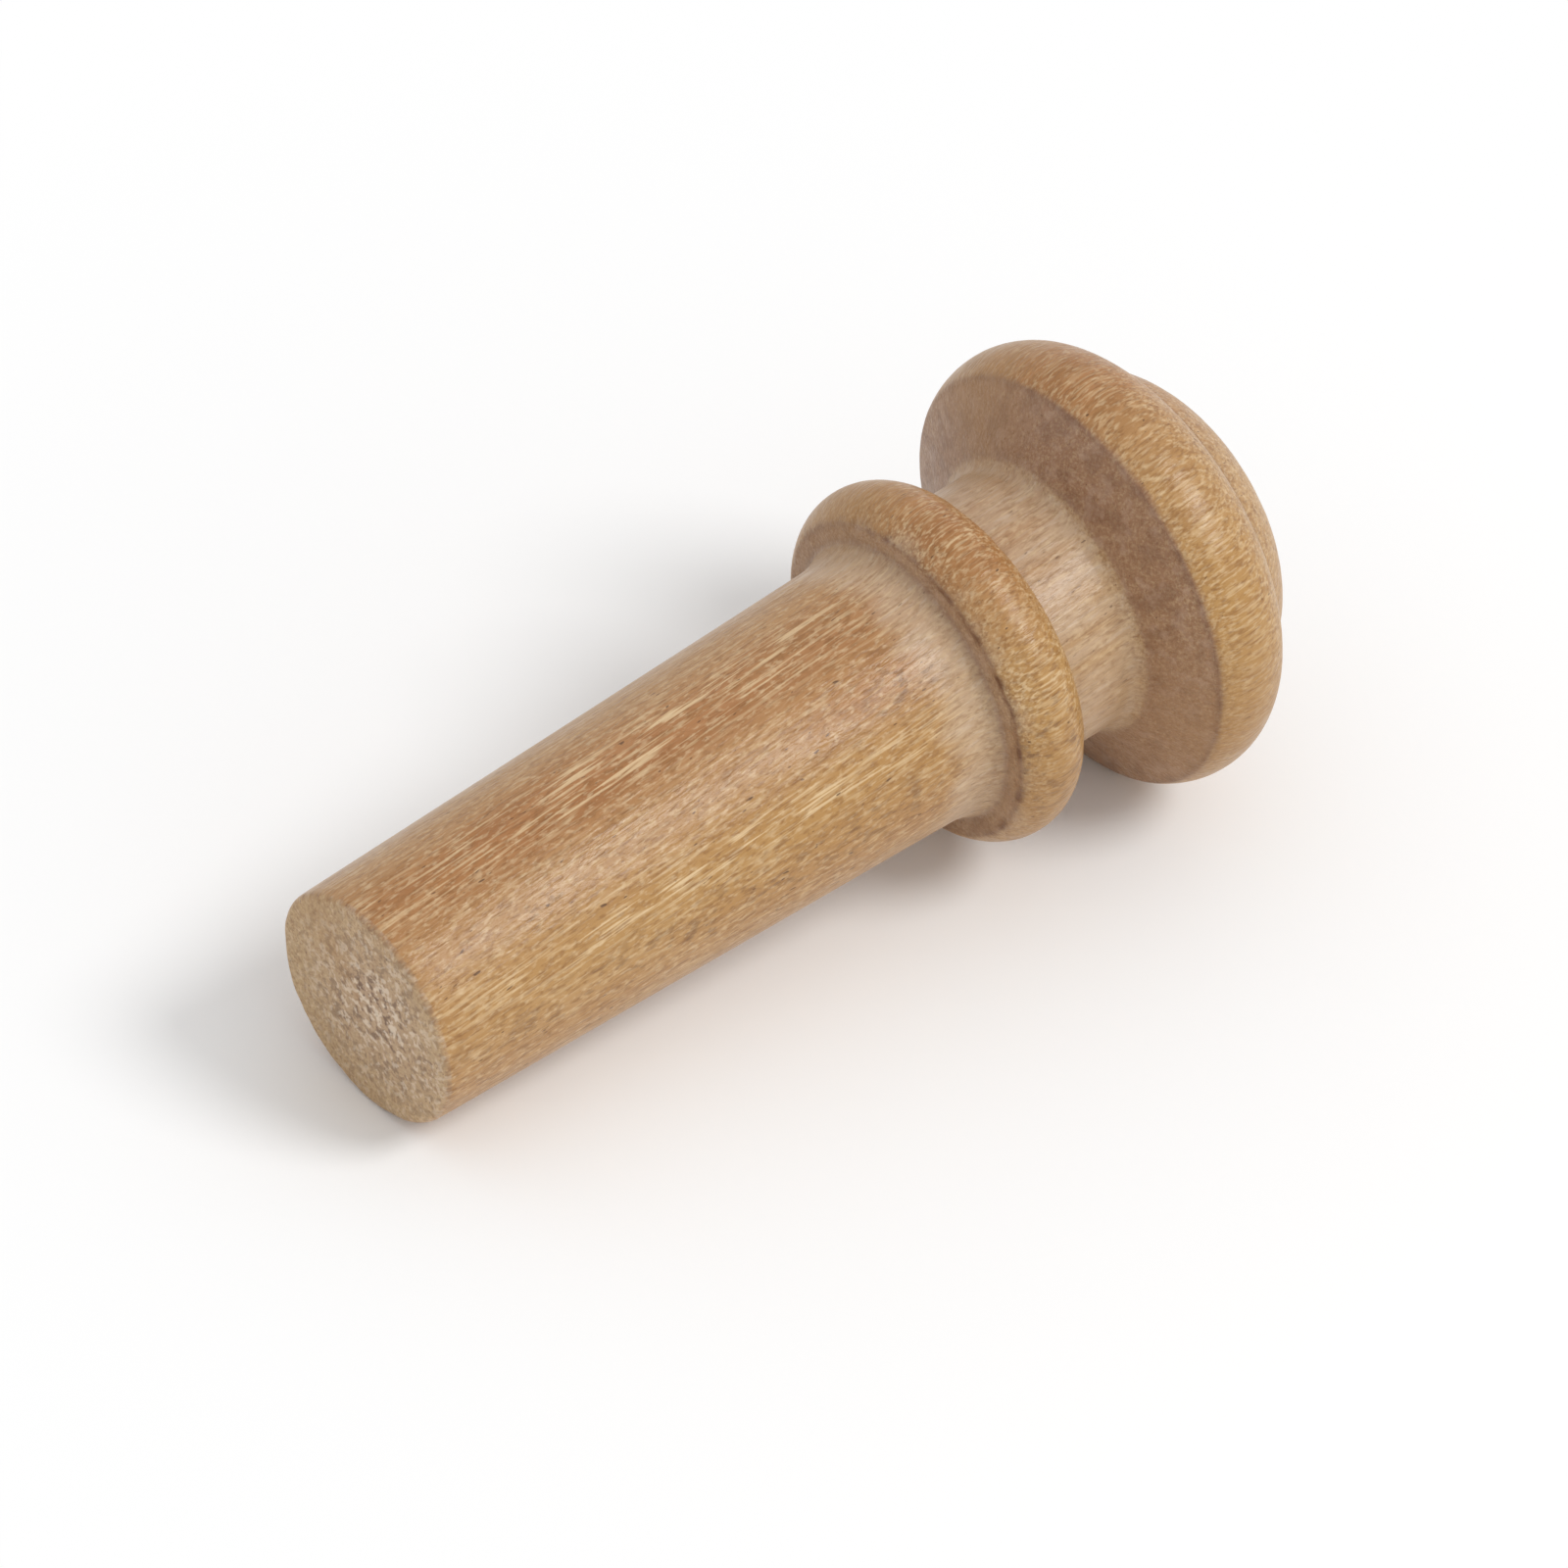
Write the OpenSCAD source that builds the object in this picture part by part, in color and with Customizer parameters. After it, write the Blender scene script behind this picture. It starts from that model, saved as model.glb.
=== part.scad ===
// End button of a full-size violin: one piece of turned boxwood.
// The tapered shank plugs into the reamed hole in the end block, the collar
// seats on the outside of the rib, and the tailgut loops round the neck.
//
// Frame, in millimetres: +X runs along the turning axis from the tip to the
// head, +Z is up, and the origin is on the axis in the plane of the seat, the
// flat ring on the tip side of the collar.
//
// The outline is drawn as [radius, station], where a station is a place along
// the turning axis, and is revolved once.

/* [Shank] */
// Length of the shank, from the tip face to the seat
shank_len = 19.6; // [12:0.1:30]
// Diameter of the shank at the tip, before its edge is rounded
tip_d = 7.2; // [5:0.1:8]
// Diameter of the shank at the seat, before it flares
shank_d = 8.2; // [7:0.1:8.8]
// Radius that rounds the edge of the tip face
tip_edge_r = 0.25; // [0.1:0.05:1.5]
// Length of the flare where the shank runs out to the seat
flare_len = 1.1; // [0.4:0.1:1.4]
// Radius of the hollow that makes the flare
flare_r = 2.4; // [2:0.1:6]

/* [Collar] */
// Largest diameter of the collar
collar_d = 11.1; // [10.6:0.1:13.4]
// Width of the collar along the axis
collar_w = 2.35; // [1.6:0.05:2.8]
// Radius of the bead that rounds the collar's edge
bead_r = 1.45; // [1.41:0.01:2.2]

/* [Neck] */
// Diameter of the neck that carries the tailgut loop
neck_d = 8.15; // [5:0.05:9.8]
// Length of the neck between the collar and the underside of the head
neck_len = 2.7; // [1:0.1:8]
// Radius of the fillet between the neck and the underside of the head
neck_fillet_r = 0.45; // [0.1:0.05:0.9]

/* [Head] */
// Largest diameter of the head
head_d = 13.6; // [13:0.1:17]
// Thickness of the head at the neck, from its underside to the back of the rim
head_w = 4.2; // [3.7:0.1:5]
// Radius that rounds the rim of the head
rim_r = 2.05; // [1.6:0.05:2.4]
// Angle at which the underside of the head leans back towards the rim
underside_angle = 23; // [5:1:28]

/* [Crown] */
// Height of the crown above the back of the rim
crown_h = 2.2; // [1.6:0.1:3]
// Radius of the low dome on top of the crown
dome_r = 9.7; // [7:0.1:20]
// Diameter at which the dome turns into the crown's round shoulder
dome_d = 6.8; // [4:0.1:8]
// Radius of the crown's round shoulder
shoulder_r = 3.4; // [2.4:0.1:3.8]

/* [Hidden] */
$fn = 96;

// How much of its radius an arc keeps to the wall that it runs into, so that
// the two cross at one clear point and not along a doubtful touch
reach = 0.999;

tip_x = -shank_len;
collar_back_x = collar_w;
underside_x = collar_back_x + neck_len;
rim_back_x = underside_x + head_w;
apex_x = rim_back_x + crown_h;

shank_rad = shank_d / 2;
neck_rad = neck_d / 2;
head_rad = head_d / 2;

// Radius gained per millimetre along the shank
taper = (shank_d - tip_d) / 2 / shank_len;

// Radius of the shank's straight wall at a station
function shank_rad_at(x) = shank_rad + taper * x;

// Station of the head's leaning underside at a radius
function underside_at(radius) = underside_x + (radius - neck_rad) * tan(underside_angle);

// Solid length of the axis between two stations, out to a radius
module span(from_x, to_x, radius) {
    translate([0, from_x]) square([radius, to_x - from_x]);
}

// Tapered shank, with the corner outside an arc taken off its flat end
module shank_outline() {
    edge_x = tip_x + tip_edge_r;
    edge_rad = shank_rad_at(edge_x) - reach * tip_edge_r;
    difference() {
        polygon([[0, tip_x], [shank_rad_at(tip_x), tip_x], [shank_rad, 0], [0, 0]]);
        difference() {
            translate([edge_rad, tip_x - tip_edge_r]) square([shank_rad, 2 * tip_edge_r]);
            translate([edge_rad, edge_x]) circle(tip_edge_r);
        }
    }
}

// Flare: a hollow arc that leaves the shank's wall and ends on the seat
module flare_outline() {
    flare_rad = shank_rad_at(-flare_len) + reach * flare_r;
    difference() {
        span(-flare_len, 0, flare_rad);
        translate([flare_rad, -flare_len]) circle(flare_r);
    }
}

// Collar: a round bead cut square by the seat and by its back
module collar_outline() {
    bead_rad = collar_d / 2 - bead_r;
    span(0, collar_back_x, bead_rad);
    intersection() {
        translate([bead_rad, collar_w / 2]) circle(bead_r);
        span(0, collar_back_x, collar_d);
    }
}

// Neck, with a fillet between its wall and the underside of the head
module neck_outline() {
    fillet_rad = neck_rad + reach * neck_fillet_r;
    fillet_x = underside_at(fillet_rad) - reach * neck_fillet_r / cos(underside_angle);
    inside_head = [fillet_rad, fillet_x]
        + 2 * neck_fillet_r * [-sin(underside_angle), cos(underside_angle)];
    span(collar_back_x, rim_back_x, neck_rad);
    difference() {
        polygon([[0, fillet_x], [fillet_rad, fillet_x], inside_head, [0, inside_head[1]]]);
        translate([fillet_rad, fillet_x]) circle(neck_fillet_r);
    }
}

// Head: a round rim on a solid disc, both cut back to the leaning underside.
// A head too thick for one arc has a straight wall between two
module head_outline() {
    rim_rad = head_rad - rim_r;
    back_arc_x = rim_back_x - rim_r;
    front_arc_x = underside_at(rim_rad) + rim_r;
    difference() {
        union() {
            span(underside_x, rim_back_x, rim_rad);
            translate([rim_rad, back_arc_x]) circle(rim_r);
            if (front_arc_x < back_arc_x) {
                translate([rim_rad, front_arc_x]) circle(rim_r);
                span(front_arc_x, back_arc_x, head_rad);
            }
        }
        polygon([
            [0, underside_x - rim_r],
            [0, underside_x],
            [neck_rad, underside_x],
            [head_rad, underside_at(head_rad)],
            [head_rad, underside_x - rim_r]
        ]);
    }
}

// Crown: a low dome that runs tangent into a round shoulder, which meets the
// back of the rim in a sharp valley
module crown_outline() {
    dome_x = apex_x - dome_r;
    lean = acos(dome_d / 2 / dome_r);
    ray = [cos(lean), sin(lean)];
    shoulder = [0, dome_x] + (dome_r - shoulder_r) * ray;
    intersection() {
        translate([0, dome_x]) circle(dome_r);
        polygon([[0, dome_x], [0, dome_x + 2 * dome_r], [0, dome_x] + 2 * dome_r * ray]);
    }
    intersection() {
        translate(shoulder) circle(shoulder_r);
        span(shoulder[1], apex_x, head_rad);
    }
}

module end_button() {
    color("#c39a60")
        rotate([0, 90, 0])
            rotate_extrude() {
                shank_outline();
                flare_outline();
                collar_outline();
                neck_outline();
                head_outline();
                crown_outline();
            }
}

end_button();
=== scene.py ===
"""Looks of a violin end button: one piece of boxwood, turned, oiled and waxed.

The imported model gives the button's place and overall size. This script builds
the finished surface over it: the turned outline with its edges eased by sanding,
the relief that tools and grain leave, and the wood itself. Sizes in the classes
are in millimetres and meshes are in metres, in the model's own frame: +X runs
along the turning axis from the tip to the head, and +Z is up. Angles round the
axis start at the top (+Z) and grow towards -Y.
"""

import logging
import math
from dataclasses import dataclass, field
from enum import Enum
from typing import Any

import bpy
import numpy as np
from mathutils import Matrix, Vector


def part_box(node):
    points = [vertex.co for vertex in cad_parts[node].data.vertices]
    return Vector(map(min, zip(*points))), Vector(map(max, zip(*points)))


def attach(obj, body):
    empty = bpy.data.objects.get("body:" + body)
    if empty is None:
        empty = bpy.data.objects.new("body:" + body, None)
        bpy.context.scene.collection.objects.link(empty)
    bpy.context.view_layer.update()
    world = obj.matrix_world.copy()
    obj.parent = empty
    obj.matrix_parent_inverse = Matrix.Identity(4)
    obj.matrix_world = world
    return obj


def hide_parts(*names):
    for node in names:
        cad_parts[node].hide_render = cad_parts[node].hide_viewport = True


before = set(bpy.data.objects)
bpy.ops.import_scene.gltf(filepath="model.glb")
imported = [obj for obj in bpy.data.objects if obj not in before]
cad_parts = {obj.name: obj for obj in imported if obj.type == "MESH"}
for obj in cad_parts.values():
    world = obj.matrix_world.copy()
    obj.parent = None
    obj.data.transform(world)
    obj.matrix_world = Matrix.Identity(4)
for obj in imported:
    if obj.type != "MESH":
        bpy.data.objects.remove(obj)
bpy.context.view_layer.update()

NODE = "end_button"
BODY = "root"
MM = 0.001  # metres in a millimetre
QUARTER = math.pi / 2
LOG = logging.getLogger("end_button")

Point = tuple[float, float]
Socket = bpy.types.NodeSocket


class Zone(Enum):
    """Zones of the outline in order from tip to crown, each with its row spacing in mm."""

    TIP_FACE = 0.115
    TIP_EDGE = 0.071
    SHANK = 0.25
    FLARE = 0.125
    SEAT = 0.085
    BEAD = 0.101
    COLLAR_BACK = 0.121
    NECK = 0.141
    FILLET = 0.081
    UNDERSIDE = 0.111
    RIM = 0.122
    SHOULDER = 0.142
    DOME = 0.162


class Mark(Enum):
    """Places on the surface where its finish or its figure differs, or where shade or a highlight is painted, each a
    mesh attribute.
    """

    END_GRAIN = "end_grain"
    CORNER_SHADE = "hollow"
    RUBBED_AND_HIGHLIGHT = "rubbed_and_highlight"
    SHADED = "shaded"
    BAND = "band"
    GOLD = "gold"
    FIBRES = "fibres"
    STAIN = "stain"
    TORN = "torn"
    SMOOTH = "smooth"


# ---------------------------------------------------------------- shapes and noise


def arc(centre: Point, radius: float, start: float, end: float) -> np.ndarray:
    """Points along an arc: its centre plus radius times the cosine and sine of the angle.

    Args:
        centre: Station and radius of the arc's centre, in mm.
        radius: Radius of the arc, in mm.
        start: Angle of the first point, in radians from the +X direction.
        end: Angle of the last point, in radians.

    Returns:
        Rows of (station, radius) about 0.01 mm apart.
    """
    count = max(8, int(abs(end - start) * radius / 0.01))
    angle = np.linspace(start, end, count)
    return np.stack([centre[0] + radius * np.cos(angle), centre[1] + radius * np.sin(angle)], 1)


def line(start: Point, end: Point) -> np.ndarray:
    """Points along a straight line: the weighted mean of its two ends.

    Args:
        start: Station and radius of the first point, in mm.
        end: Station and radius of the last point, in mm.

    Returns:
        Rows of (station, radius) about 0.01 mm apart.
    """
    count = max(4, int(math.dist(start, end) / 0.01))
    share = np.linspace(0.0, 1.0, count)[:, None]
    return np.array(start) * (1 - share) + np.array(end) * share


def angle_of(point: Point, centre: Point) -> float:
    """Angle at which a point lies round a centre, from the +X direction."""
    return math.atan2(point[1] - centre[1], point[0] - centre[0])


def wall_meets_arc(start: Point, slope: float, centre: Point, radius: float) -> Point:
    """Outer point where a straight wall meets an arc.

    The wall's station grows by slope for each mm of radius, so its distance to
    the centre is a quadratic in the radius gained, and the larger root is taken.

    Args:
        start: Station and radius of a point on the wall, in mm.
        slope: Station gained for each mm of radius.
        centre: Station and radius of the arc's centre, in mm.
        radius: Radius of the arc, in mm.

    Returns:
        Station and radius of the meeting point, in mm.
    """
    dx, dr = start[0] - centre[0], start[1] - centre[1]
    square = slope * slope + 1
    half = slope * dx + dr
    rest = dx * dx + dr * dr - radius * radius
    gain = (-half + math.sqrt(half * half - square * rest)) / square
    return start[0] + slope * gain, start[1] + gain


def arcs_meet(first: Point, first_r: float, second: Point, second_r: float) -> Point:
    """Head-side point where two arcs cross.

    It lies on the line at right angles to the line of centres, as far along that
    one as the two radii give by Pythagoras.

    Args:
        first: Station and radius of the first centre, in mm.
        first_r: Radius of the first arc, in mm.
        second: Station and radius of the second centre, in mm.
        second_r: Radius of the second arc, in mm.

    Returns:
        Station and radius of the crossing with the larger station, in mm.
    """
    dx, dr = second[0] - first[0], second[1] - first[1]
    apart = math.hypot(dx, dr)
    along = (apart**2 + first_r**2 - second_r**2) / (2 * apart)
    aside = math.sqrt(first_r**2 - along**2)
    foot = first[0] + along * dx / apart, first[1] + along * dr / apart
    over, back = aside * dr / apart, aside * dx / apart
    return max((foot[0] + over, foot[1] - back), (foot[0] - over, foot[1] + back))


def lattice_noise(places: np.ndarray, cell: tuple[float, float, float], seed: int) -> np.ndarray:
    """Smooth solid noise from -1 to 1: random values at a lattice's corners, blended.

    Each corner's value is a hash of its whole-number place and the seed. A point
    takes the mean of the eight corners round it, weighted by the smooth step of
    its place in the cell along each axis.

    Args:
        places: One row of X, Y and Z for each point, in mm.
        cell: Size of a lattice cell along X, Y and Z, in mm.
        seed: Whole number that picks one field of noise.

    Returns:
        One value for each point.
    """
    scaled = places / np.array(cell)
    corner = np.floor(scaled).astype(np.int64)
    part = scaled - corner
    part = part * part * (3 - 2 * part)
    total = np.zeros(len(places))
    for bits in range(8):
        step = np.array([bits & 1, bits >> 1 & 1, bits >> 2 & 1])
        at = (corner + step).astype(np.uint64)
        mixed = at[:, 0] * np.uint64(73856093) ^ at[:, 1] * np.uint64(19349663)
        mixed = mixed ^ at[:, 2] * np.uint64(83492791) ^ np.uint64(seed * 2654435761 % 2**32)
        mixed = (mixed ^ mixed >> np.uint64(13)) * np.uint64(1274126177)
        mixed = mixed ^ mixed >> np.uint64(16)
        value = (mixed & np.uint64(0xFFFF)).astype(float) / 32767.5 - 1
        total += value * np.prod(np.where(step == 1, part, 1 - part), axis=1)
    return total


def bell(distance: np.ndarray, width: float) -> np.ndarray:
    """Smooth bump, 1 at no distance, that falls off as a Gaussian of the given width."""
    return np.exp(-0.5 * (distance / width) ** 2)


def smooth_step(value: np.ndarray, low: float, high: float) -> np.ndarray:
    """Ramp from 0 at low to 1 at high, with level ends: 3 t squared less 2 t cubed."""
    part = np.clip((value - low) / (high - low), 0, 1)
    return part * part * (3 - 2 * part)


# ---------------------------------------------------------------- the turned button


@dataclass
class Outline:
    """Outline of the button as stations along the axis and radii, in mm."""

    tip_x: float
    apex_x: float
    head_rad: float
    tip_rad: float = 3.6
    shank_rad: float = 4.1
    tip_edge_r: float = 0.25
    flare_len: float = 1.1
    flare_r: float = 2.4
    collar_rad: float = 5.55
    collar_w: float = 2.35
    bead_r: float = 1.45
    neck_rad: float = 4.075
    neck_len: float = 2.7
    fillet_r: float = 0.45
    rim_r: float = 2.05
    underside_angle: float = math.radians(23)
    crown_h: float = 2.2
    dome_r: float = 9.7
    dome_rad: float = 3.4
    shoulder_r: float = 3.4
    # Fine sanding eases each sharp corner by about this much
    easing: float = 0.06

    def shank_rad_at(self, x: float) -> float:
        """Radius of the shank's straight wall at a station."""
        return self.shank_rad + (self.shank_rad - self.tip_rad) * x / -self.tip_x

    def shank_side(self) -> list[tuple[Zone, np.ndarray]]:
        """Lines and arcs from the centre of the tip face to the edge of the seat.

        Returns:
            Each zone with its (station, radius) rows, end to end.
        """
        edge_x = self.tip_x + self.tip_edge_r
        edge_rad = self.shank_rad_at(edge_x)
        edge = edge_x, edge_rad - self.tip_edge_r
        flare_rad = self.shank_rad_at(-self.flare_len)
        flare = -self.flare_len, flare_rad + self.flare_r
        flare_turn = math.asin(self.flare_len / self.flare_r)
        flare_end = flare[1] - self.flare_r * math.cos(flare_turn)
        bead_rise = math.sqrt(self.bead_r**2 - (self.collar_w / 2) ** 2)
        seat_rad = self.collar_rad - self.bead_r + bead_rise
        return [
            (Zone.TIP_FACE, line((self.tip_x, 0.0), (self.tip_x, edge[1]))),
            (Zone.TIP_EDGE, arc(edge, self.tip_edge_r, math.pi, QUARTER)),
            (Zone.SHANK, line((edge_x, edge_rad), (flare[0], flare_rad))),
            (Zone.FLARE, arc(flare, self.flare_r, -QUARTER, flare_turn - QUARTER)),
            (Zone.SEAT, line((0.0, flare_end), (0.0, seat_rad))),
        ]

    def collar_and_neck(self) -> list[tuple[Zone, np.ndarray]]:
        """Lines and arcs from the edge of the seat to the end of the neck's fillet.

        Returns:
            Each zone with its (station, radius) rows, end to end.
        """
        bead = self.collar_w / 2, self.collar_rad - self.bead_r
        bead_turn = math.acos(self.collar_w / 2 / self.bead_r)
        back_rad = bead[1] + self.bead_r * math.sin(bead_turn)
        slope = math.tan(self.underside_angle)
        under_x = self.collar_w + self.neck_len
        fillet = (
            under_x + self.fillet_r * (slope - 1 / math.cos(self.underside_angle)),
            self.neck_rad + self.fillet_r,
        )
        return [
            (Zone.BEAD, arc(bead, self.bead_r, math.pi - bead_turn, bead_turn)),
            (Zone.COLLAR_BACK, line((self.collar_w, back_rad), (self.collar_w, self.neck_rad))),
            (Zone.NECK, line((self.collar_w, self.neck_rad), (fillet[0], self.neck_rad))),
            (Zone.FILLET, arc(fillet, self.fillet_r, -QUARTER, -self.underside_angle)),
        ]

    def head_and_crown(self, start: Point) -> list[tuple[Zone, np.ndarray]]:
        """Lines and arcs from the end of the neck's fillet to the top of the crown.

        Args:
            start: Station and radius of the fillet's last point, in mm.

        Returns:
            Each zone with its (station, radius) rows, end to end.
        """
        under = self.collar_w + self.neck_len, self.neck_rad
        rim = self.apex_x - self.crown_h - self.rim_r, self.head_rad - self.rim_r
        edge = wall_meets_arc(under, math.tan(self.underside_angle), rim, self.rim_r)
        dome = self.apex_x - self.dome_r, 0.0
        dome_turn = math.asin(self.dome_rad / self.dome_r)
        inset = self.dome_r - self.shoulder_r
        shoulder = dome[0] + inset * math.cos(dome_turn), inset * math.sin(dome_turn)
        valley = arcs_meet(rim, self.rim_r, shoulder, self.shoulder_r)
        return [
            (Zone.UNDERSIDE, line(start, edge)),
            (Zone.RIM, arc(rim, self.rim_r, angle_of(edge, rim), angle_of(valley, rim))),
            (Zone.SHOULDER, arc(shoulder, self.shoulder_r, angle_of(valley, shoulder), dome_turn)),
            (Zone.DOME, arc(dome, self.dome_r, dome_turn, 0.0)),
        ]

    def rows(self) -> tuple[np.ndarray, np.ndarray, np.ndarray, dict[Zone, tuple[float, float]]]:
        """Outline as rows of vertices, closer together where it bends.

        The lines and arcs are joined, placed evenly along their length, mirrored
        past both ends and blurred with a Gaussian, which rounds each corner and
        keeps the two poles on the axis.

        Returns:
            The (station, radius) rows from pole to pole in mm, their outward
            normals, their lengths along the outline, and each zone's span of it.
        """
        parts = self.shank_side() + self.collar_and_neck()
        parts += self.head_and_crown(tuple(parts[-1][1][-1]))
        spans, stops, run = {}, [np.zeros(1)], 0.0
        for zone, points in parts:
            size = float(np.hypot(*np.diff(points, axis=0).T).sum())
            spans[zone] = run, run + size
            count = max(2, round(size / zone.value))
            stops.append(run + size * np.arange(1, count + 1) / count)
            run += size
        joined = np.concatenate([points for _, points in parts])
        gaps = np.hypot(*np.diff(joined, axis=0).T)
        joined = joined[np.concatenate([[True], gaps > 1e-9])]
        length = np.concatenate([[0.0], np.cumsum(np.hypot(*np.diff(joined, axis=0).T))])

        step = 0.01
        even = np.arange(0.0, run + step / 2, step)
        curve = np.stack([np.interp(even, length, joined[:, k]) for k in (0, 1)], 1)
        reach = round(5 * self.easing / step)
        turned = curve * np.array([1, -1])
        padded = np.concatenate([turned[reach:0:-1], curve, turned[-2 : -reach - 2 : -1]])
        kernel = bell(np.arange(-reach, reach + 1) * step, self.easing)
        kernel /= kernel.sum()
        eased = np.stack([np.convolve(padded[:, k], kernel, "valid") for k in (0, 1)], 1)
        slope = np.gradient(eased, axis=0)
        slope /= np.hypot(*slope.T)[:, None]

        at = np.concatenate(stops)
        row = np.stack([np.interp(at, even, eased[:, k]) for k in (0, 1)], 1)
        along = np.stack([np.interp(at, even, slope[:, k]) for k in (0, 1)], 1)
        along /= np.hypot(*along.T)[:, None]
        row[[0, -1], 1] = 0.0
        normal = np.stack([-along[:, 1], along[:, 0]], 1)
        return row, normal, at, spans


@dataclass(frozen=True)
class Patch:
    """A soft-edged patch of the surface, where the figure or the finish differs."""

    mark: Mark
    station: float  # place along the axis, mm
    angle: float  # place round the axis, degrees
    half_len: float  # mm
    half_wide: float  # degrees
    strength: float = 1.0

    def weight(self, station: np.ndarray, angle: np.ndarray) -> np.ndarray:
        """Strength of the patch at each place: a bell along the axis times a bell round it.

        Args:
            station: Stations along the axis, in mm.
            angle: Angles round the axis, in radians.

        Returns:
            One weight for each place.
        """
        turn = math.radians(self.angle)
        aside = np.degrees(np.arctan2(np.sin(angle - turn), np.cos(angle - turn)))
        return self.strength * bell(station - self.station, self.half_len) * bell(aside, self.half_wide)


@dataclass(frozen=True)
class Relief:
    """Depths, in mm, that turning, sanding, grain and wear leave in the surface."""

    wobble: float = 0.010
    ring_depth: float = 0.002
    ring_pitch: float = 0.46
    grain_depth: float = 0.006
    end_depth: float = 0.06
    lip_depth: float = 0.04
    edge_wear: float = 0.035

    def cut(
        self,
        places: np.ndarray,
        grain: np.ndarray,
        length: np.ndarray,
        end_grain: np.ndarray,
        tip_edge: np.ndarray,
        bead_edge: np.ndarray,
    ) -> np.ndarray:
        """Depth taken off the outline at each vertex, never less than nothing.

        It is the sum of a slow wobble, shallow rings from the turning tool, a
        raised grain of noise stretched along the fibres, a rougher noise on bare
        end grain, and lumps along the worn edges.

        Args:
            places: X, Y and Z of each vertex, in mm.
            grain: The same places, turned so that X runs along the fibres.
            length: Length along the outline at each vertex, in mm.
            end_grain: How far each vertex is bare end grain, 0 to 1.
            tip_edge: How near each vertex is to the tip's edge, 0 to 1.
            bead_edge: How near each vertex is to the collar's edges, 0 to 1.

        Returns:
            One depth for each vertex, in mm.
        """
        slow = 0.5 + 0.5 * lattice_noise(places, (9.0, 5.0, 5.0), 11)
        ring_height = 0.5 + 0.5 * np.sin(2 * math.pi * length / self.ring_pitch)
        ring_mix = 0.5 + 0.5 * lattice_noise(places, (2.2, 3.0, 3.0), 12)
        fibre = 0.5 + 0.35 * lattice_noise(grain, (2.6, 0.30, 0.30), 13)
        fibre += 0.15 * lattice_noise(grain, (1.1, 0.16, 0.16), 14)
        rough = 0.5 + 0.32 * lattice_noise(places, (0.9, 0.55, 0.55), 15)
        rough += 0.18 * lattice_noise(places, (0.5, 0.24, 0.24), 16)
        lumps = smooth_step(lattice_noise(places, (0.8, 0.75, 0.75), 17), -0.3, 0.9)
        chips = smooth_step(lattice_noise(places, (0.5, 0.45, 0.45), 18), 0.0, 0.9)
        return (
            self.wobble * slow
            + self.ring_depth * ring_height * ring_mix
            + self.grain_depth * fibre * (1 - end_grain)
            + self.end_depth * rough * end_grain
            + self.lip_depth * lumps * tip_edge
            + self.edge_wear * chips * bead_edge
        )


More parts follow.
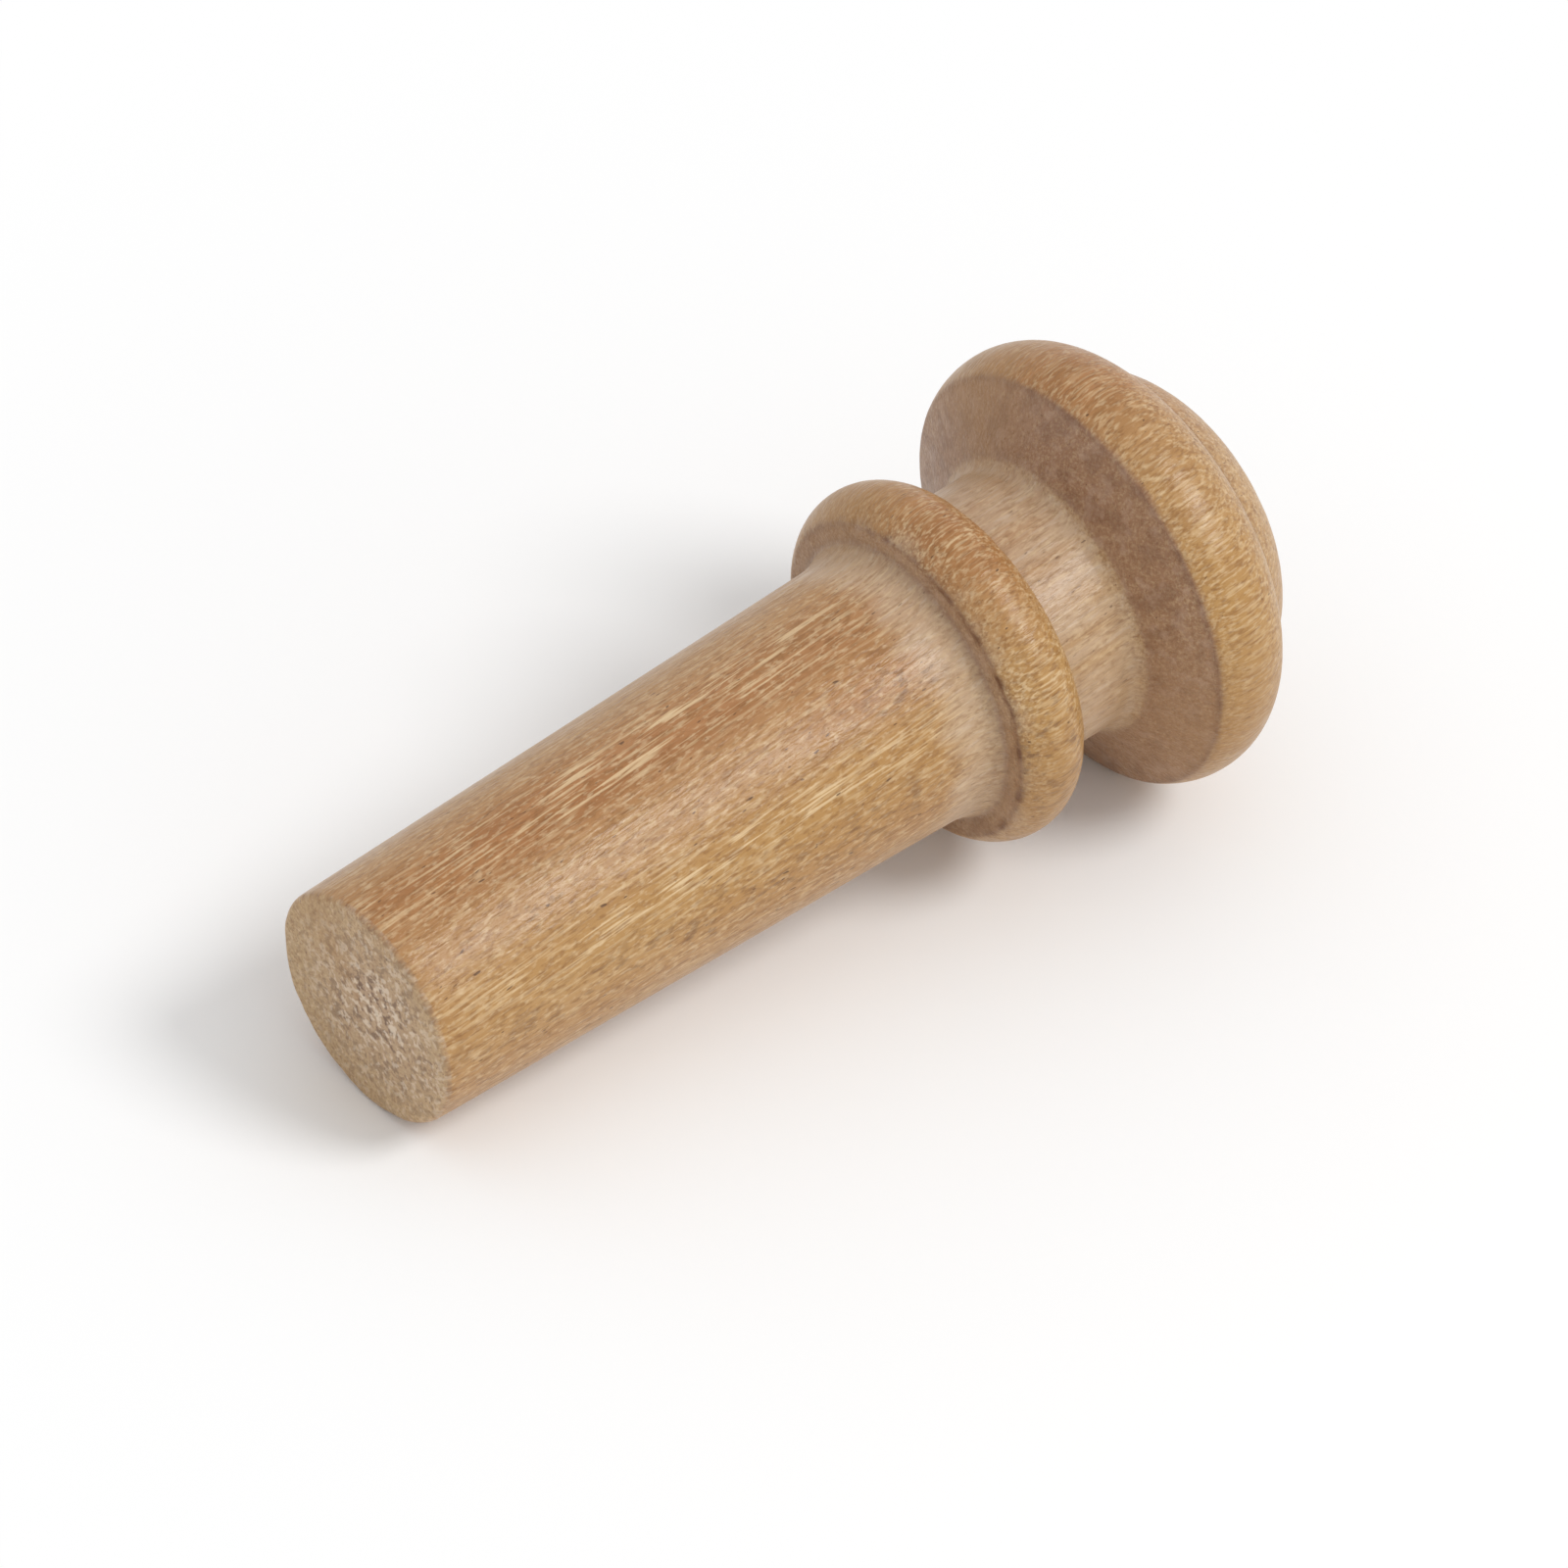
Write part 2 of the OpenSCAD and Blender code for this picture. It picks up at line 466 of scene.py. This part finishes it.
@dataclass
class TurnedButton:
    """The whole button: a solid of revolution with its relief, marks and finish."""

    outline: Outline
    relief: Relief = field(default_factory=Relief)
    columns: int = 352
    # The fibres lean a little off the turning axis, towards the top at the head
    grain_lean: float = math.radians(3.6)
    grain_side: float = math.radians(-36)
    patches: tuple[Patch, ...] = (
        Patch(Mark.BAND, -10.0, 3.0, 10.0, 14.0, 1.0),
        Patch(Mark.BAND, 7.0, -14.0, 2.2, 16.0, 1.0),
        Patch(Mark.BAND, 1.5, 14.0, 0.9, 22.0, 0.8),
        Patch(Mark.BAND, -3.0, 33.0, 1.6, 7.0, 0.5),
        Patch(Mark.GOLD, -9.0, 68.0, 10.0, 16.0, 1.0),
        Patch(Mark.GOLD, 7.4, 70.0, 2.4, 40.0, 0.8),
        Patch(Mark.GOLD, 1.3, 70.0, 1.0, 35.0, 0.8),
        Patch(Mark.FIBRES, -9.5, -6.0, 8.5, 4.0, 0.9),
        Patch(Mark.FIBRES, -9.5, 7.0, 8.5, 5.0, 0.8),
        Patch(Mark.FIBRES, -9.0, 60.0, 8.5, 7.0, 0.9),
        Patch(Mark.FIBRES, 1.2, 55.0, 1.2, 40.0, 0.2),
        Patch(Mark.FIBRES, 7.3, 50.0, 2.2, 40.0, 0.3),
        Patch(Mark.SMOOTH, 7.2, -38.0, 2.2, 16.0, 1.0),
        Patch(Mark.SMOOTH, 7.2, 108.0, 2.2, 22.0, 1.0),
        Patch(Mark.SMOOTH, 1.2, 104.0, 1.0, 20.0, 0.9),
        Patch(Mark.SMOOTH, 1.2, -36.0, 1.0, 16.0, 0.9),
        Patch(Mark.SMOOTH, -10.0, -42.0, 9.0, 14.0, 0.8),
        Patch(Mark.STAIN, -9.0, 84.0, 8.0, 9.0, 0.8),
        Patch(Mark.STAIN, -2.0, 38.0, 1.2, 10.0, 0.9),
        Patch(Mark.STAIN, -15.3, 37.0, 0.8, 8.0, 0.9),
        Patch(Mark.STAIN, 1.0, 92.0, 0.8, 30.0, 0.9),
    )

    def grain_axes(self) -> np.ndarray:
        """Unit directions along and across the fibres, as the rows of a rotation."""
        lean, side = self.grain_lean, self.grain_side
        along = np.array([math.cos(lean), -math.sin(lean) * math.sin(side), math.sin(lean) * math.cos(side)])
        across = np.cross(np.array([0.0, 0.0, 1.0]), along)
        across /= np.linalg.norm(across)
        return np.stack([along, across, np.cross(along, across)])

    def marks(
        self,
        station: np.ndarray,
        angle: np.ndarray,
        length: np.ndarray,
        facing: np.ndarray,
        spans: dict[Zone, tuple[float, float]],
        places: np.ndarray,
    ) -> dict[Mark, np.ndarray]:
        """How strongly each mark shows at each vertex, from 0 to 1.

        Spans of the outline give the marks that run all round, and patches add
        the ones that don't. Slow noise breaks their edges.

        Args:
            station: Stations along the axis, in mm.
            angle: Angles round the axis, in radians.
            length: Lengths along the outline, in mm.
            facing: Axial part of each outward normal, from -1 to 1.
            spans: Each zone's span of the outline, in mm.
            places: X, Y and Z of each vertex, in mm.

        Returns:
            Each mark with one weight for each vertex.
        """
        ragged = lattice_noise(places, (1.3, 1.0, 1.0), 21)
        fine = lattice_noise(places, (0.45, 0.3, 0.3), 22)
        hatch = lattice_noise(places, (1.6, 0.35, 0.35), 23)
        tip_end = spans[Zone.TIP_EDGE][1]
        seat_start, seat_end = spans[Zone.SEAT]
        bead_end = spans[Zone.BEAD][1]
        neck_start = spans[Zone.NECK][0]
        under_start, under_end = spans[Zone.UNDERSIDE]
        valley = spans[Zone.RIM][1]

        def between(start: float, end: float, soft: float) -> np.ndarray:
            """Weight of the outline between two lengths, with soft and ragged ends."""
            moved = length + soft * (0.25 * ragged + 0.3 * hatch)
            return smooth_step(moved, start - soft, start) * (1 - smooth_step(moved, end, end + soft))

        flare_start = spans[Zone.FLARE][0]
        off_centre = np.hypot(places[:, 1] + 0.55, places[:, 2] - 0.25)
        near_side = 0.55 + 0.45 * np.cos(angle - math.radians(60))
        edge_dots = smooth_step(fine + 0.5 * ragged, -0.1, 0.8)
        found = {
            Mark.END_GRAIN: np.abs(facing) ** 2 * (length < tip_end)
            + 0.35 * np.abs(facing) ** 3 * (length >= tip_end),
            # Painted shade in the corners and along the edges beside the seat, the collar, the head's underside and
            # the valley of the crown, stronger on the near side
            Mark.CORNER_SHADE: 0.25 * bell(length - seat_start, 0.12)
            + near_side * bell(length - seat_end, 0.11) * (0.35 + 0.65 * edge_dots)
            + 0.6 * bell(length - neck_start, 0.14)
            + 0.75 * near_side * bell(length - under_end, 0.09) * (0.5 + 0.5 * edge_dots)
            + 0.75 * bell(length - valley, 0.11),
            # Painted highlight on the cove, and pale wear where the loop sits on the neck
            Mark.RUBBED_AND_HIGHLIGHT: (0.75 + 0.25 * hatch) * between(flare_start + 0.3, seat_start - 0.1, 1.3)
            + (0.6 + 0.4 * hatch) * between(neck_start + 0.3, under_start, 0.35),
            # Painted shade on the seat, the head's underside and the collar's back, over their darker end grain
            Mark.SHADED: 0.6 * between(seat_start, seat_end, 0.08)
            + 0.9 * between(under_start + 0.1, under_end, 0.15)
            + 0.5 * between(bead_end, neck_start, 0.1),
            Mark.BAND: np.zeros_like(length),
            Mark.GOLD: np.zeros_like(length),
            Mark.FIBRES: np.full_like(length, 0.06),
            Mark.STAIN: np.zeros_like(length),
            Mark.SMOOTH: np.zeros_like(length),
            Mark.TORN: (length < tip_end) * bell(off_centre, 2.1) * (0.85 + 0.15 * ragged),
        }
        for patch in self.patches:
            found[patch.mark] = found[patch.mark] + patch.weight(station, angle)
        return {mark: np.clip(weight, 0, 1) for mark, weight in found.items()}

    def build(self) -> bpy.types.Object:
        """Build the button's mesh, with its relief and its marks.

        The surface is a function of the length along the outline and the angle
        round the axis: X is the station, and Y and Z are the radius times minus
        the sine and the cosine of the angle, moved inwards by the relief along
        the outline's normal. The two poles are single vertices.

        Returns:
            The new object, in the scene, with smooth shading.
        """
        row, normal, at, spans = self.outline.rows()
        inner = slice(1, -1)
        turn = np.linspace(0.0, 2 * math.pi, self.columns, endpoint=False)

        def spread(values: np.ndarray) -> np.ndarray:
            """Values of the rows for every vertex: the first pole, the rings, the last pole."""
            return np.concatenate([values[:1], np.repeat(values[inner], self.columns), values[-1:]])

        station, radius, length = spread(row[:, 0]), spread(row[:, 1]), spread(at)
        facing, rising = spread(normal[:, 0]), spread(normal[:, 1])
        angle = np.concatenate([[0.0], np.tile(turn, len(row) - 2), [0.0]])
        outward = np.stack([-np.sin(angle), np.cos(angle)], 1)
        places = np.column_stack([station, outward * radius[:, None]])
        marks = self.marks(station, angle, length, facing, spans, places)
        tip_edge = bell(length - spans[Zone.TIP_EDGE][0] - 0.35, 0.25)
        bead_edge = bell(length - spans[Zone.SEAT][1], 0.12) + bell(length - spans[Zone.BEAD][1], 0.12)
        cut = self.relief.cut(
            places, places @ self.grain_axes().T, length,
            marks[Mark.END_GRAIN], tip_edge, bead_edge,
        )
        station = station - cut * facing
        radius = np.maximum(radius - cut * rising, 0.0)
        vertices = np.column_stack([station, outward * radius[:, None]]) * MM

        rings = np.arange(len(row) - 2)[:-1, None] * self.columns + 1
        first = np.arange(self.columns)[None, :]
        second = np.roll(first, -1, axis=1)
        quads = np.stack(
            [rings + first, rings + second, rings + self.columns + second, rings + self.columns + first], -1
        ).reshape(-1, 4)
        last_ring = 1 + (len(row) - 3) * self.columns
        last = len(vertices) - 1
        tip_fan = np.stack([np.zeros_like(first), 1 + second, 1 + first], -1).reshape(-1, 3)
        crown_fan = np.stack([last_ring + first, last_ring + second, np.full_like(first, last)], -1)

        mesh = bpy.data.meshes.new("turned_button")
        faces = quads.tolist() + tip_fan.tolist() + crown_fan.reshape(-1, 3).tolist()
        mesh.from_pydata(vertices.tolist(), [], faces)
        mesh.shade_smooth()
        for mark, weight in marks.items():
            layer = mesh.attributes.new(mark.value, "FLOAT", "POINT")
            layer.data.foreach_set("value", weight.astype(np.float32))
        mesh.update()
        piece = bpy.data.objects.new("turned_button", mesh)
        bpy.context.scene.collection.objects.link(piece)
        return piece

    def dress(self, piece: bpy.types.Object, finish: "WaxedBoxwood") -> None:
        """Give the button its finish, say which body it goes with and hide the imported node it replaces.

        Args:
            piece: The button's object.
            finish: The finish that covers it.
        """
        piece.data.materials.append(finish.material(self.grain_axes()))
        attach(piece, BODY)
        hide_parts(NODE)


# ---------------------------------------------------------------- finishes


def linear(hex_colour: str) -> tuple[float, float, float, float]:
    """Turn an sRGB hex colour into a linear one: divide by 12.92, or the 2.4 power above the toe.

    Args:
        hex_colour: Colour such as "#c39a60".

    Returns:
        Linear red, green and blue, and an alpha of 1.
    """
    parts = [int(hex_colour[k : k + 2], 16) / 255 for k in (1, 3, 5)]
    red, green, blue = (p / 12.92 if p <= 0.04045 else ((p + 0.055) / 1.055) ** 2.4 for p in parts)
    return red, green, blue, 1.0


def add_node(
    tree: bpy.types.NodeTree, kind: str, inputs: dict[str | int, Any], **settings: Any
) -> bpy.types.Node:
    """Add a node with its settings, and give each named input a link or a value.

    Args:
        tree: Node tree that gets the node.
        kind: Blender's name for the kind of node.
        inputs: Input names or numbers, each with an output socket or a value.
        **settings: Settings of the node itself.

    Returns:
        The new node.
    """
    node = tree.nodes.new(kind)
    for name, value in settings.items():
        setattr(node, name, value)
    for name, value in inputs.items():
        if isinstance(value, Socket):
            tree.links.new(value, node.inputs[name])
        else:
            node.inputs[name].default_value = value
    return node


@dataclass(frozen=True)
class Figure:
    """A pattern in the wood: noise stretched along the fibres, kept above a level."""

    length: float  # mm along the fibres
    width: float  # mm across them
    low: float  # noise level where the pattern starts to show
    high: float  # noise level where it shows in full
    shift: float  # moves the pattern, so that no two are alike
    detail: float = 2.0

    def mask(self, tree: bpy.types.NodeTree, grain: Socket) -> Socket:
        """Strength of the pattern, from 0 to 1: a smooth step of the stretched noise.

        Args:
            tree: Node tree that gets the nodes.
            grain: Places in mm, with X along the fibres.

        Returns:
            The output socket with the strength.
        """
        stretch = (1 / self.length, 1 / self.width, 1 / self.width)
        placed = add_node(
            tree, "ShaderNodeMapping",
            {"Vector": grain, "Location": (self.shift, self.shift * 1.7, -self.shift), "Scale": stretch},
        )
        noise = add_node(
            tree, "ShaderNodeTexNoise",
            {"Vector": placed.outputs[0], "Scale": 1.0, "Detail": self.detail, "Roughness": 0.55},
        )
        step = add_node(
            tree, "ShaderNodeMapRange",
            {"Value": noise.outputs[0], "From Min": self.low, "From Max": self.high},
            interpolation_type="SMOOTHSTEP",
        )
        return step.outputs[0]


@dataclass(frozen=True)
class Layer:
    """One tone of the wood, laid over the ones before it."""

    tone: str
    strength: float
    figure: Figure | None = None
    mark: Mark | None = None


@dataclass(frozen=True)
class WaxedBoxwood:
    """European boxwood, turned, sanded fine, oiled and waxed.

    Boxwood has no open pores to speak of, so the eye gets a close, creamy tan
    with short pale fibres, a fine mottle and a soft satin sheen. The tip face is
    bare end grain, greyer and rougher. Shade is painted dark into the corners and
    over the faces beside the groove, and a highlight is painted pale on the cove,
    with pale wear where the loop sits on the neck.
    """

    ground: str = "#ae8250"
    layers: tuple[Layer, ...] = (
        # Slow drift of tone through the blank, several mm wide
        Layer("#b99468", 0.55, Figure(15.0, 3.0, 0.40, 0.62, 3.1)),
        Layer("#a57744", 0.45, Figure(12.0, 1.6, 0.45, 0.68, 7.7)),
        # Warm stripe of older wood along the top, and golden wood lower down
        Layer("#a4673a", 0.62, None, Mark.BAND),
        Layer("#8f5a2c", 0.50, Figure(7.0, 0.7, 0.42, 0.62, 1.3), Mark.BAND),
        Layer("#b48a4f", 0.70, None, Mark.GOLD),
        # Growth rings, about 0.7 mm apart, as faint darker lines
        Layer("#986b3b", 0.35, Figure(24.0, 0.42, 0.52, 0.66, 9.4, 1.0)),
        # Bare end grain, a painted highlight on the cove with pale wear on the neck, and painted shade over the
        # darker end grain of the faces beside the groove
        Layer("#bba079", 0.80, None, Mark.END_GRAIN),
        Layer("#c9af96", 0.70, None, Mark.RUBBED_AND_HIGHLIGHT),
        Layer("#a07a60", 0.72, None, Mark.SHADED),
        Layer("#dccbb8", 0.50, Figure(1.3, 0.13, 0.50, 0.68, 18.6), Mark.RUBBED_AND_HIGHLIGHT),
        # Mottle of the cells: real ones are 0.02 mm, drawn ten times coarser so that they show
        Layer("#865a2d", 0.56, Figure(0.36, 0.14, 0.47, 0.70, 2.2)),
        Layer("#dfc49c", 0.42, Figure(0.30, 0.12, 0.49, 0.72, 4.4)),
        # Fibres that catch the light, 1 to 4 mm long, and darker ones between them
        Layer("#e2c69b", 0.85, Figure(2.6, 0.10, 0.52, 0.66, 6.6, 1.0), Mark.FIBRES),
        Layer("#dcc197", 0.32, Figure(1.1, 0.11, 0.56, 0.72, 8.8, 1.0)),
        Layer("#7c5028", 0.42, Figure(1.0, 0.10, 0.57, 0.74, 0.7, 1.0)),
        # Rare vessels cut open by the tool
        Layer("#54361d", 0.80, Figure(0.42, 0.13, 0.72, 0.78, 12.5, 1.0)),
        Layer("#6a4a30", 0.60, Figure(0.6, 0.25, 0.52, 0.66, 3.9), Mark.STAIN),
        # Calmer pale over the painted highlight on the cove and the wear on the neck
        Layer("#bda283", 0.42, None, Mark.RUBBED_AND_HIGHLIGHT),
        # Torn fibres in the middle of the tip face, and painted shade with soft cloudy tones on the faces beside the
        # groove
        Layer("#b79b86", 0.60, None, Mark.TORN),
        Layer("#5f4436", 0.85, Figure(0.9, 0.26, 0.48, 0.62, 14.2), Mark.TORN),
        Layer("#e6d4be", 0.90, Figure(0.8, 0.22, 0.50, 0.64, 15.8), Mark.TORN),
        Layer("#9c7862", 0.45, None, Mark.SHADED),
        Layer("#7a5844", 0.42, Figure(1.6, 0.75, 0.48, 0.66, 16.9), Mark.SHADED),
        Layer("#bea08a", 0.42, Figure(1.4, 0.45, 0.50, 0.68, 17.3), Mark.SHADED),
        # Plain saturated wood where handling has polished the figure away
        Layer("#a57a45", 0.55, None, Mark.SMOOTH),
        # Painted shade in the corners and along the edges
        Layer("#5c3219", 0.88, None, Mark.CORNER_SHADE),
    )
    sheen_roughness: float = 0.34
    raw_roughness: float = 0.62
    refraction: float = 1.42
    # Fibres stand about a hundredth of a millimetre proud after oiling
    fibre_height: float = 0.007

    def material(self, grain_axes: np.ndarray) -> bpy.types.Material:
        """Make the wood's material from its layers.

        Object coordinates are scaled to mm and turned so that X runs along the
        fibres. Each layer mixes its tone in by its strength, times its pattern,
        times its mark on the surface. Two fine patterns also drive the bump, and
        a middling one the roughness.

        Args:
            grain_axes: Rotation whose first row is the direction of the fibres.

        Returns:
            The material.
        """
        made = bpy.data.materials.new("boxwood_turned_oiled_waxed")
        made.use_nodes = True
        tree = made.node_tree
        tree.nodes.clear()
        place = add_node(tree, "ShaderNodeTexCoord", {})
        turned = add_node(
            tree, "ShaderNodeMapping",
            {
                "Vector": place.outputs["Object"],
                "Rotation": matrix_angles(grain_axes),
                "Scale": (1 / MM, 1 / MM, 1 / MM),
            },
        )
        grain = turned.outputs[0]

        colour: Socket | tuple[float, ...] = linear(self.ground)
        for layer in self.layers:
            factor = self.factor(tree, grain, layer)
            mixed = add_node(
                tree, "ShaderNodeMix", {0: factor, 6: colour, 7: linear(layer.tone)}, data_type="RGBA"
            )
            colour = mixed.outputs[2]

        fibre = Figure(1.4, 0.13, 0.30, 0.70, 1.9).mask(tree, grain)
        cells = Figure(0.30, 0.12, 0.30, 0.70, 2.9).mask(tree, grain)
        height = add_node(tree, "ShaderNodeMath", {0: fibre, 1: cells}, operation="ADD")
        bump = add_node(
            tree, "ShaderNodeBump",
            {"Strength": 1.0, "Distance": self.fibre_height * MM, "Height": height.outputs[0]},
        )
        end_grain = add_node(tree, "ShaderNodeAttribute", {}, attribute_name=Mark.END_GRAIN.value)
        smear = Figure(2.5, 0.5, 0.30, 0.70, 10.1).mask(tree, grain)
        waxed = add_node(
            tree, "ShaderNodeMapRange",
            {
                "Value": smear,
                "To Min": self.sheen_roughness - 0.05,
                "To Max": self.sheen_roughness + 0.05,
            },
        )
        rough = add_node(
            tree, "ShaderNodeMix",
            {0: end_grain.outputs["Fac"], 2: waxed.outputs[0], 3: self.raw_roughness},
        )
        shader = add_node(
            tree, "ShaderNodeBsdfPrincipled",
            {
                "Base Color": colour,
                "Roughness": rough.outputs[0],
                "IOR": self.refraction,
                "Normal": bump.outputs[0],
            },
        )
        add_node(tree, "ShaderNodeOutputMaterial", {"Surface": shader.outputs[0]})
        return made

    def factor(self, tree: bpy.types.NodeTree, grain: Socket, layer: Layer) -> Socket | float:
        """How much of a layer's tone shows: its strength times its pattern and its mark.

        Args:
            tree: Node tree that gets the nodes.
            grain: Places in mm, with X along the fibres.
            layer: The layer.

        Returns:
            A socket, or the bare strength where the layer has no pattern and no mark.
        """
        factor: Socket | float = layer.strength
        if layer.figure:
            mask = layer.figure.mask(tree, grain)
            factor = add_node(tree, "ShaderNodeMath", {0: mask, 1: factor}, operation="MULTIPLY").outputs[0]
        if layer.mark:
            mark = add_node(tree, "ShaderNodeAttribute", {}, attribute_name=layer.mark.value)
            factor = add_node(
                tree, "ShaderNodeMath", {0: mark.outputs["Fac"], 1: factor}, operation="MULTIPLY"
            ).outputs[0]
        return factor


def matrix_angles(axes: np.ndarray) -> tuple[float, float, float]:
    """Turn a rotation, given as rows, into angles about X, Y and Z, applied in that order.

    The matrix is the Z turn times the Y turn times the X turn, so the Y angle's
    sine is minus its lower left number, and the others follow.

    Args:
        axes: Rotation matrix, 3 by 3.

    Returns:
        The three angles, in radians.
    """
    tilt = math.asin(-axes[2, 0])
    roll = math.atan2(axes[2, 1], axes[2, 2])
    swing = math.atan2(axes[1, 0], axes[0, 0])
    return roll, tilt, swing


# ---------------------------------------------------------------- the studio


@dataclass(frozen=True)
class Studio:
    """Plain white table, soft white light all round, one large soft lamp and the camera."""

    # The button lies on its side: the rim and the tip's edge both touch the table
    rim_touch: Point = (6.96, 6.79)
    tip_touch: Point = (-19.38, 3.60)
    table_rad: float = 120.0
    table_tone: str = "#fcfcfc"
    surround: float = 0.72
    lamp_side: float = 340.0
    lamp_away: float = 800.0
    lamp_watts: float = 2.7
    lamp_from: tuple[float, float, float] = (0.45, -0.53, 0.72)
    azimuth: float = math.radians(-40.35)
    elevation: float = math.radians(45.96)
    away: float = 437.0
    # Point the camera aims at, from the middle of the button's box, mm
    aim: tuple[float, float, float] = (-0.71, -0.41, -0.64)
    lens: float = 360.0

    def table(self) -> bpy.types.Object:
        """Build the table top: a disc of rings, tilted so that the button rests on it.

        The tilt is the angle whose tangent is the difference in depth of the two
        touching points over their distance along the axis.

        Returns:
            The table's object.
        """
        slope = (self.rim_touch[1] - self.tip_touch[1]) / (self.rim_touch[0] - self.tip_touch[0])
        turn = np.linspace(0, 2 * math.pi, 96, endpoint=False)
        rings = np.linspace(0.0, self.table_rad, 13)[1:]
        x = np.concatenate([[0.0], (rings[:, None] * np.cos(turn)).ravel()])
        y = np.concatenate([[0.0], (rings[:, None] * np.sin(turn)).ravel()])
        z = -self.rim_touch[1] - slope * (x - self.rim_touch[0])
        first = np.arange(96)
        second = np.roll(first, -1)
        start = (np.arange(11)[:, None] * 96 + 1)
        quads = np.stack([start + first, start + 96 + first, start + 96 + second, start + second], -1)
        fan = np.stack([np.zeros(96, int), 1 + first, 1 + second], 1)
        mesh = bpy.data.meshes.new("table")
        mesh.from_pydata((np.column_stack([x, y, z]) * MM).tolist(), [], quads.reshape(-1, 4).tolist() + fan.tolist())
        mesh.materials.append(self.table_material())
        table = bpy.data.objects.new("table", mesh)
        bpy.context.scene.collection.objects.link(table)
        return table

    def table_material(self) -> bpy.types.Material:
        """Matt white laminate that keeps the shadow and fades into the white surroundings.

        Returns:
            The material.
        """
        made = bpy.data.materials.new("white_laminate_matt")
        made.use_nodes = True
        tree = made.node_tree
        tree.nodes.clear()
        top = add_node(
            tree, "ShaderNodeBsdfPrincipled",
            {"Base Color": linear(self.table_tone), "Roughness": 0.7, "Specular IOR Level": 0.0},
        )
        light = add_node(tree, "ShaderNodeEmission", {"Color": (1.0, 1.0, 1.0, 1.0), "Strength": 1.0})
        clear = add_node(tree, "ShaderNodeBsdfTransparent", {})
        place = add_node(tree, "ShaderNodeTexCoord", {})
        far = add_node(tree, "ShaderNodeVectorMath", {0: place.outputs["Object"]}, operation="LENGTH")
        fade = add_node(
            tree, "ShaderNodeMapRange",
            {"Value": far.outputs["Value"], "From Min": 0.018, "From Max": 0.042},
            interpolation_type="SMOOTHSTEP",
        )
        path = add_node(tree, "ShaderNodeLightPath", {})
        fade_seen = add_node(
            tree, "ShaderNodeMath", {0: fade.outputs[0], 1: path.outputs["Is Camera Ray"]}, operation="MULTIPLY"
        )
        faded = add_node(
            tree, "ShaderNodeMixShader", {0: fade_seen.outputs[0], 1: top.outputs[0], 2: light.outputs[0]}
        )
        face = add_node(tree, "ShaderNodeNewGeometry", {})
        from_below = add_node(
            tree, "ShaderNodeMath",
            {0: face.outputs["Backfacing"], 1: path.outputs["Is Camera Ray"]},
            operation="MULTIPLY",
        )
        whole = add_node(
            tree, "ShaderNodeMixShader", {0: from_below.outputs[0], 1: faded.outputs[0], 2: clear.outputs[0]}
        )
        add_node(tree, "ShaderNodeOutputMaterial", {"Surface": whole.outputs[0]})
        return made

    def light(self) -> None:
        """Light the room: an even white world, seen as plain white, and one soft lamp."""
        world = bpy.data.worlds.new("white_room")
        bpy.context.scene.world = world
        world.use_nodes = True
        tree = world.node_tree
        tree.nodes.clear()
        path = add_node(tree, "ShaderNodeLightPath", {})
        seen = add_node(
            tree, "ShaderNodeMath",
            {0: path.outputs["Is Camera Ray"], 1: path.outputs["Is Glossy Ray"]}, operation="MAXIMUM",
        )
        seen = add_node(
            tree, "ShaderNodeMath",
            {0: seen.outputs[0], 1: path.outputs["Is Transmission Ray"]}, operation="MAXIMUM",
        )
        level = add_node(
            tree, "ShaderNodeMapRange", {"Value": seen.outputs[0], "To Min": self.surround, "To Max": 1.0}
        )
        sky = add_node(
            tree, "ShaderNodeBackground", {"Color": (1.0, 1.0, 1.0, 1.0), "Strength": level.outputs[0]}
        )
        add_node(tree, "ShaderNodeOutputWorld", {"Surface": sky.outputs[0]})

        lamp = bpy.data.lights.new("soft_lamp", "AREA")
        lamp.shape = "DISK"
        lamp.size = self.lamp_side * MM
        lamp.energy = self.lamp_watts
        holder = bpy.data.objects.new("soft_lamp", lamp)
        bpy.context.scene.collection.objects.link(holder)
        self.stand(holder, Vector(self.lamp_from).normalized(), self.lamp_away, self.middle())

    def middle(self) -> Vector:
        """Middle of the button's box, in metres."""
        low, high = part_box(NODE)
        return (low + high) / 2

    def stand(self, thing: bpy.types.Object, back: Vector, away: float, target: Vector) -> None:
        """Stand a lamp or camera away from a target and point it there.

        Args:
            thing: The lamp or camera.
            back: Unit direction from the target to it.
            away: Distance from the target, in mm.
            target: The target, in metres.
        """
        thing.location = target + back * away * MM
        thing.rotation_euler = (-back).to_track_quat("-Z", "Y").to_euler()

    def camera(self) -> None:
        """Set up the camera: a long lens, level, above the tip and the near side."""
        data = bpy.data.cameras.new("camera")
        data.lens = self.lens
        data.sensor_width = 36.0
        camera = bpy.data.objects.new("camera", data)
        bpy.context.scene.collection.objects.link(camera)
        flat = math.cos(self.elevation)
        back = Vector((
            math.sin(self.azimuth) * flat, -math.cos(self.azimuth) * flat, math.sin(self.elevation)
        ))
        self.stand(camera, back, self.away, self.middle() + Vector(self.aim) * MM)
        bpy.context.scene.camera = camera


# ---------------------------------------------------------------- putting it together


def main() -> None:
    """Build the studio and the button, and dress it."""
    logging.basicConfig(level=logging.INFO, format="%(message)s")
    studio = Studio()
    studio.camera()
    studio.table()
    studio.light()
    LOG.info("studio ready")

    low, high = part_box(NODE)
    outline = Outline(tip_x=low.x / MM, apex_x=high.x / MM, head_rad=(high.z - low.z) / 2 / MM)
    button = TurnedButton(outline)
    piece = button.build()
    button.dress(piece, WaxedBoxwood())
    LOG.info("%s: %d faces", piece.name, len(piece.data.polygons))

    bpy.context.scene.view_settings.view_transform = "Standard"


if __name__ == "__main__":
    main()
